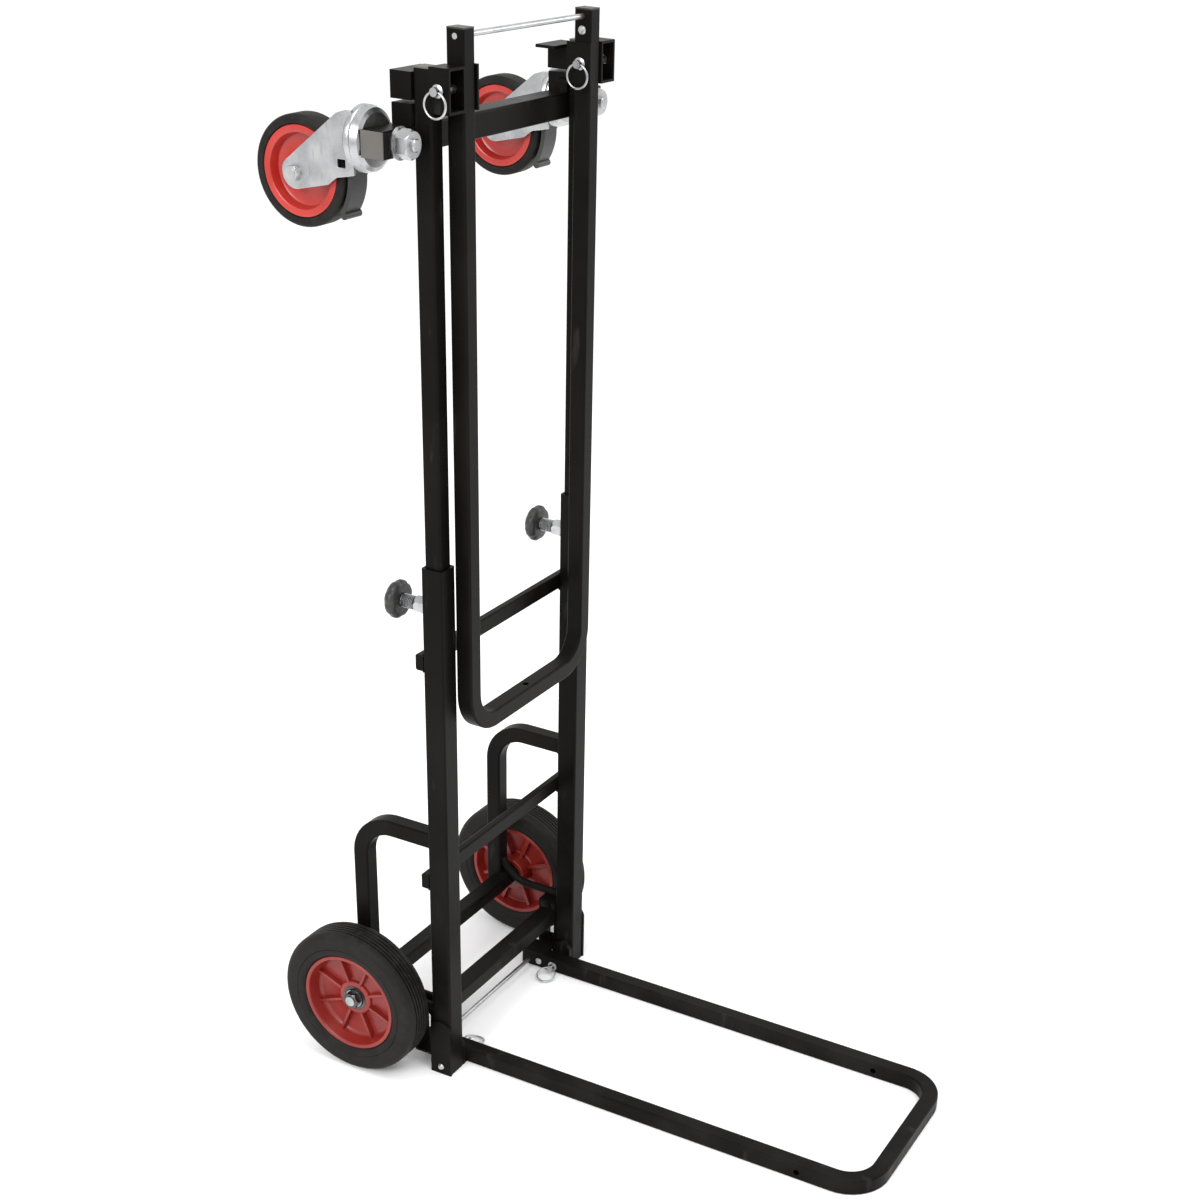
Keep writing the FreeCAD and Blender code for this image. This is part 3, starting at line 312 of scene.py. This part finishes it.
# %% Floor
floor_mesh = bmesh.new()
bmesh.ops.create_grid(floor_mesh, x_segments=1, y_segments=1, size=14)
floor_data = bpy.data.meshes.new("floor")
floor_mesh.to_mesh(floor_data)
floor_mesh.free()
floor = bpy.data.objects.new("floor", floor_data)
bpy.context.scene.collection.objects.link(floor)
paper = Finish("studio paper")
tint = paper.noise(0.6, 2).above(0.3, 0.7)
floor_data.materials.append(paper.surface(
    Base_Color=paper.blend(tint, colour(0.955, 0.955, 0.955), colour(0.965, 0.965, 0.965)), Roughness=0.85,
    Normal=paper.bump(paper.noise(300, 3), 0.00005)))
print("floor ready")

# %% [markdown]
# ## Pieces with more shape
#
# Everything round is turned from its outline. An outline is a list of (distance along the axis, radius), and
# the axis of a wheel runs along X, that of a knob or screw along Y.

# %% Turning
ALONG = {"x": Matrix.Rotation(math.pi / 2, 4, "Y"), "y": Matrix.Rotation(-math.pi / 2, 4, "X")}


def middle(node):
    low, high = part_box(node)
    return (Vector(low) + Vector(high)) / 2


def turn(mesh, outline, steps):
    """Adds a closed ring or solid made by turning an outline about Z."""
    points = [mesh.verts.new((radius, 0, along)) for along, radius in outline]
    edges = [mesh.edges.new((first, second)) for first, second in zip(points, points[1:] + points[:1])]
    bmesh.ops.spin(mesh, geom=points + edges, cent=(0, 0, 0), axis=(0, 0, 1), angle=2 * math.pi, steps=steps,
                   use_merge=True)


def finished(name, mesh, centre, rotation, body, material, replaced, soft=None):
    """Puts a mesh in its place, smooths it, and lets it ride on its body."""
    bmesh.ops.remove_doubles(mesh, verts=mesh.verts, dist=1e-6)
    bmesh.ops.recalc_face_normals(mesh, faces=mesh.faces)
    mesh.transform(Matrix.Translation(centre) @ rotation)
    if rotation.determinant() < 0:
        bmesh.ops.reverse_faces(mesh, faces=mesh.faces)
    for face in mesh.faces:
        face.smooth = True
    for edge in mesh.edges:
        edge.smooth = len(edge.link_faces) == 2 and edge.calc_face_angle(0) < math.radians(38)
    data = bpy.data.meshes.new(name)
    mesh.to_mesh(data)
    mesh.free()
    data.materials.append(material)
    piece = bpy.data.objects.new(name, data)
    bpy.context.scene.collection.objects.link(piece)
    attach(piece, body)
    if replaced:
        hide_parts(*replaced)
    if soft:
        bevel = piece.modifiers.new("soft edges", "BEVEL")
        bevel.width = soft
        bevel.segments = 2
        bevel.limit_method = "ANGLE"
        bevel.angle_limit = math.radians(40)
        bevel.harden_normals = False
    print(name, len(data.polygons), "faces")
    return piece


# %% [markdown]
# ## Big wheels
#
# Seven inch solid tyres with rounded shoulders and fine grooves round the tread, pressed on red moulded rims:
# a deep barrel, a dished web, a hub that holds the bearings and eight radial ribs.

# %% Tyres
def arc(centre_along, centre_radius, size, start, end, count):
    """Points on an arc in an outline, by angle from the axis."""
    angles = [math.radians(start + (end - start) * step / count) for step in range(count + 1)]
    return [(centre_along + size * math.cos(angle), centre_radius + size * math.sin(angle)) for angle in angles]


def tyre_outline(half, radius, seat, shoulder, grooves, depth):
    outline = [(half - 0.004, seat), (half - 0.001, seat + 0.002), (half, seat + 0.005), (half, seat + 0.009)]
    outline += [(half - 0.0006, seat + 0.0096), (half, seat + 0.0102)]
    outline += arc(half - shoulder, radius - shoulder, shoulder, 0, 90, 6)
    flat = 2 * (half - shoulder)
    for count in range(grooves):
        centre = half - shoulder - flat * (count + 0.5) / grooves
        outline += [(centre + 0.0010, radius), (centre + 0.0005, radius - depth), (centre - 0.0005, radius - depth),
                    (centre - 0.0010, radius)]
    mirrored = [(-along, size) for along, size in outline[:12 + 1]]
    return outline + mirrored[::-1]


for side, word in SIDES:
    mesh = bmesh.new()
    turn(mesh, tyre_outline(0.020, 0.089, 0.060, 0.0085, 5, 0.0024), 96)
    finished(f"tread_{word}", mesh, middle(f"tyre_{word}"), ALONG["x"], f"wheel_{word}", RUBBER, [f"tyre_{word}"])


# %% Rims
def add_rib(mesh, angle, inner, outer, half, low, high):
    """A radial rib, thinner at its outer edge."""
    made = bmesh.ops.create_cube(mesh, size=1)["verts"]
    bmesh.ops.scale(mesh, verts=made, vec=(outer - inner, 2 * half, high - low))
    bmesh.ops.translate(mesh, verts=made, vec=((outer + inner) / 2, 0, (low + high) / 2))
    for vert in made:
        if vert.co.z > (low + high) / 2:
            vert.co.y *= 0.7
    bmesh.ops.rotate(mesh, verts=made, cent=(0, 0, 0), matrix=Matrix.Rotation(angle, 3, "Z"))


for side, word in SIDES:
    mesh = bmesh.new()
    outline = [(-0.0175, 0.060), (-0.0175, 0.0555), (-0.004, 0.052), (-0.004, 0.023), (-0.006, 0.021),
               (-0.026, 0.021), (-0.026, 0.015), (0.005, 0.015), (0.005, 0.0195), (0.0042, 0.021), (0.001, 0.022),
               (-0.001, 0.025), (-0.001, 0.049)]
    outline += [(0.000, 0.0515), (0.003, 0.0533), (0.0155, 0.0548), (0.0175, 0.0558), (0.0178, 0.058),
                (0.0175, 0.060)]
    turn(mesh, outline, 96)
    for count in range(8):
        add_rib(mesh, math.tau * (count + 0.5) / 8, 0.020, 0.0540, 0.0024, -0.003, 0.0055)
        add_rib(mesh, math.tau * (count + 0.5) / 8, 0.0205, 0.0530, 0.0024, -0.012, -0.003)
    turn_out = ALONG["x"] if side > 0 else Matrix.Rotation(math.pi, 4, "Z") @ ALONG["x"]
    place = Vector((side * 0.177, 0.2695, 0.089))
    finished(f"rim_{word}", mesh, place, turn_out, f"wheel_{word}", DEEP_RED, [f"wheel_rim_{word}"], 0.0006)

# %% [markdown]
# ## Casters
#
# Four inch wheels with red dished hubs and a plain rubber tread.

# %% Caster wheels
for side, word in SIDES:
    place = middle(f"caster_tyre_{word}")
    mesh = bmesh.new()
    outline = [(0.0115, 0.0415), (0.0132, 0.0425), (0.0135, 0.0445), (0.0135, 0.0462)]
    outline += arc(0.0092, 0.0465, 0.0043, 0, 90, 6)
    turn(mesh, outline + [(-along, radius) for along, radius in reversed(outline)], 80)
    finished(f"caster_tread_{word}", mesh, place, ALONG["x"], f"caster_wheel_{word}", RUBBER,
             [f"caster_tyre_{word}"])
    mesh = bmesh.new()
    outline = [(0.0115, 0.0415), (0.0126, 0.0411), (0.0129, 0.0400), (0.0129, 0.0358), (0.0122, 0.0346),
               (0.0100, 0.0338), (0.0030, 0.0322), (0.0018, 0.0300), (0.0022, 0.0210), (0.0050, 0.0158),
               (0.0130, 0.0135), (0.0160, 0.0125), (0.0167, 0.0112), (0.0167, 0.00405)]
    turn(mesh, outline + [(-along, radius) for along, radius in reversed(outline)], 80)
    finished(f"caster_dish_{word}", mesh, place, ALONG["x"], f"caster_wheel_{word}", RED,
             [f"caster_hub_{word}"])

# %% [markdown]
# ## Caster forks
#
# Pressed steel: a round crown that turns in the ball race, and two cheeks that taper to round noses at the
# axle. The outline of a cheek is cut from sheet, given its thickness, and its edges are eased.


# %% Forks
def add_cheek(mesh, outlines, start, end):
    """A flat plate between two distances: its outline and that of its slot, both as (y, z)."""
    edges = []
    for outline in outlines:
        points = [mesh.verts.new((start, y, z)) for y, z in outline]
        edges += [mesh.edges.new(pair) for pair in zip(points, points[1:] + points[:1])]
    filled = bmesh.ops.triangle_fill(mesh, edges=edges, use_beauty=True)["geom"]
    faces = [item for item in filled if isinstance(item, bmesh.types.BMFace)]
    raised = bmesh.ops.extrude_face_region(mesh, geom=faces)["geom"]
    bmesh.ops.translate(mesh, vec=(end - start, 0, 0), verts=[item for item in raised
                                                              if isinstance(item, bmesh.types.BMVert)])


CHEEK = [(0.0125, 0.0262), (0.0200, 0.0258), (0.0300, 0.0225)]
CHEEK += [(0.079 + y, z - 0.0355) for y, z in arc(0, 0, 0.0149, 62, -96, 12)]
CHEEK += [(0.0420, -0.0420), (0.0320, -0.0345), (0.0200, -0.0322), (0.0125, -0.0305)]
SLOT = [(0.0215, -0.0250), (0.0305, -0.0250), (0.0305, -0.0175), (0.0215, -0.0175)]
for side, word in SIDES:
    place = Vector((side * 0.170, 0.172 + 0.0345, 1.0415))
    mesh = bmesh.new()
    outline = [(0.0096, 0.0081), (0.0096, 0.0280), (0.0105, 0.0292), (0.0125, 0.0299), (0.0155, 0.0299),
               (0.0172, 0.0285), (0.0182, 0.0250), (0.0188, 0.0200), (0.0189, 0.0081)]
    turn(mesh, outline, 72)
    mesh.transform(ALONG["y"])
    for low, high in ((-0.0199, -0.0171), (0.0171, 0.0199)):
        add_cheek(mesh, (CHEEK, SLOT), low, high)
    finished(f"fork_{word}", mesh, place, Matrix.Identity(4), f"caster_{word}", ZINC, [f"caster_fork_{word}"],
             0.0007)

# %% [markdown]
# ## Weld beads
#
# Crossbars and loops are welded to the uprights. Each bead is a row of overlapping drops under the coat.


# %% Beads
def bead(mesh, start, end, size=0.0017):
    start, end = Vector(start), Vector(end)
    count = max(2, round((end - start).length / (size * 1.1)))
    for step in range(count + 1):
        drop = bmesh.ops.create_icosphere(mesh, subdivisions=2, radius=size * (1 + 0.12 * math.sin(step * 2.3)))
        bmesh.ops.translate(mesh, verts=drop["verts"], vec=start.lerp(end, step / count))


mesh = bmesh.new()
rear = 0.172 + 0.0125
for side, word in SIDES:
    near, far = side * 0.1262, side * 0.1488
    for height in (0.519, 0.254):
        for edge in (-0.009, 0.009):
            bead(mesh, (near, rear, height + edge), (far, rear, height + edge))
    for edge in (-0.0095, 0.0095):
        bead(mesh, (side * 0.1295, rear, 0.304 + edge), (side * 0.1455, rear, 0.304 + edge))
    bead(mesh, (side * 0.128, rear, 0.296), (side * 0.128, rear, 0.312))
finished("weld_beads", mesh, Vector(), Matrix.Identity(4), "root", COAT, [])

# %% [markdown]
# ## Clamp knobs
#
# Domed plastic heads with shallow finger flutes, moulded over the end of a threaded screw.

# %% Knobs and screws
for side, word in SIDES:
    x = side * 0.1375
    mesh = bmesh.new()
    outline = [(0.0, 0.0051), (0.0, 0.0150), (0.0012, 0.0182), (0.0035, 0.0202), (0.0055, 0.0205),
               (0.0080, 0.0203), (0.0105, 0.0190), (0.0130, 0.0160), (0.0148, 0.0115), (0.0157, 0.0060),
               (0.0160, 0.0005), (0.0081, 0.0005), (0.0081, 0.0051)]
    turn(mesh, outline, 96)
    for vert in mesh.verts:
        reach = math.hypot(vert.co.x, vert.co.y)
        if reach > 0.014:
            flute = 0.5 + 0.5 * math.cos(8 * math.atan2(vert.co.y, vert.co.x))
            shrink = 1 - 0.06 * flute ** 3 * min(1, (reach - 0.014) / 0.004)
            vert.co.x *= shrink
            vert.co.y *= shrink
    finished(f"knob_{word}", mesh, Vector((x, 0.172 + 0.044, 0.579)), ALONG["y"], f"knob_{word}", BLACK,
             [f"knob_head_{word}"])
    mesh = bmesh.new()
    start = 0.0097
    outline = [(start, 0.0005), (start, 0.004), (start + 0.001, 0.005), (0.028, 0.005)]
    pitch = 0.0019
    for count in range(8):
        along = 0.0282 + pitch * count
        outline += [(along, 0.0056), (along + pitch * 0.35, 0.0075), (along + pitch * 0.55, 0.0075),
                    (along + pitch * 0.9, 0.0056)]
    outline += [(0.0439, 0.0062), (0.0439, 0.005), (0.052, 0.005), (0.052, 0.0005)]
    turn(mesh, outline, 48)
    finished(f"screw_{word}", mesh, Vector((x, 0.172, 0.579)), ALONG["y"], f"knob_{word}", ZINC,
             [f"clamp_screw_{word}"])

# %% [markdown]
# ## Wheel bearings and swivel races
#
# Each hub shows the dark rubber seal of its ball bearing between two bright rings. The caster's swivel race has
# a dark grease seal between its cup and the fork.


# %% Seals
def seal(name, place, rotation, inner, outer, thick, body):
    mesh = bmesh.new()
    half = thick / 2
    turn(mesh, [(-half, inner), (half * 0.7, inner), (half, inner + 0.0006), (half, outer - 0.0006),
                (half * 0.7, outer), (-half, outer)], 48)
    return finished(name, mesh, Vector(place), rotation, body, RUBBER, [])


for side, word in SIDES:
    for count, distance in enumerate((0.1823 - 0.0009, 0.1510 + 0.0009)):
        seal(f"bearing_seal_{word}_{count}", (side * distance, 0.2695, 0.089), ALONG["x"], 0.0093, 0.0117, 0.0014,
             f"wheel_{word}")
    seal(f"race_seal_{word}", (side * 0.170, 0.172 + 0.0345 + 0.00925, 1.0415), ALONG["y"], 0.012, 0.0270, 0.0006,
         f"caster_{word}")
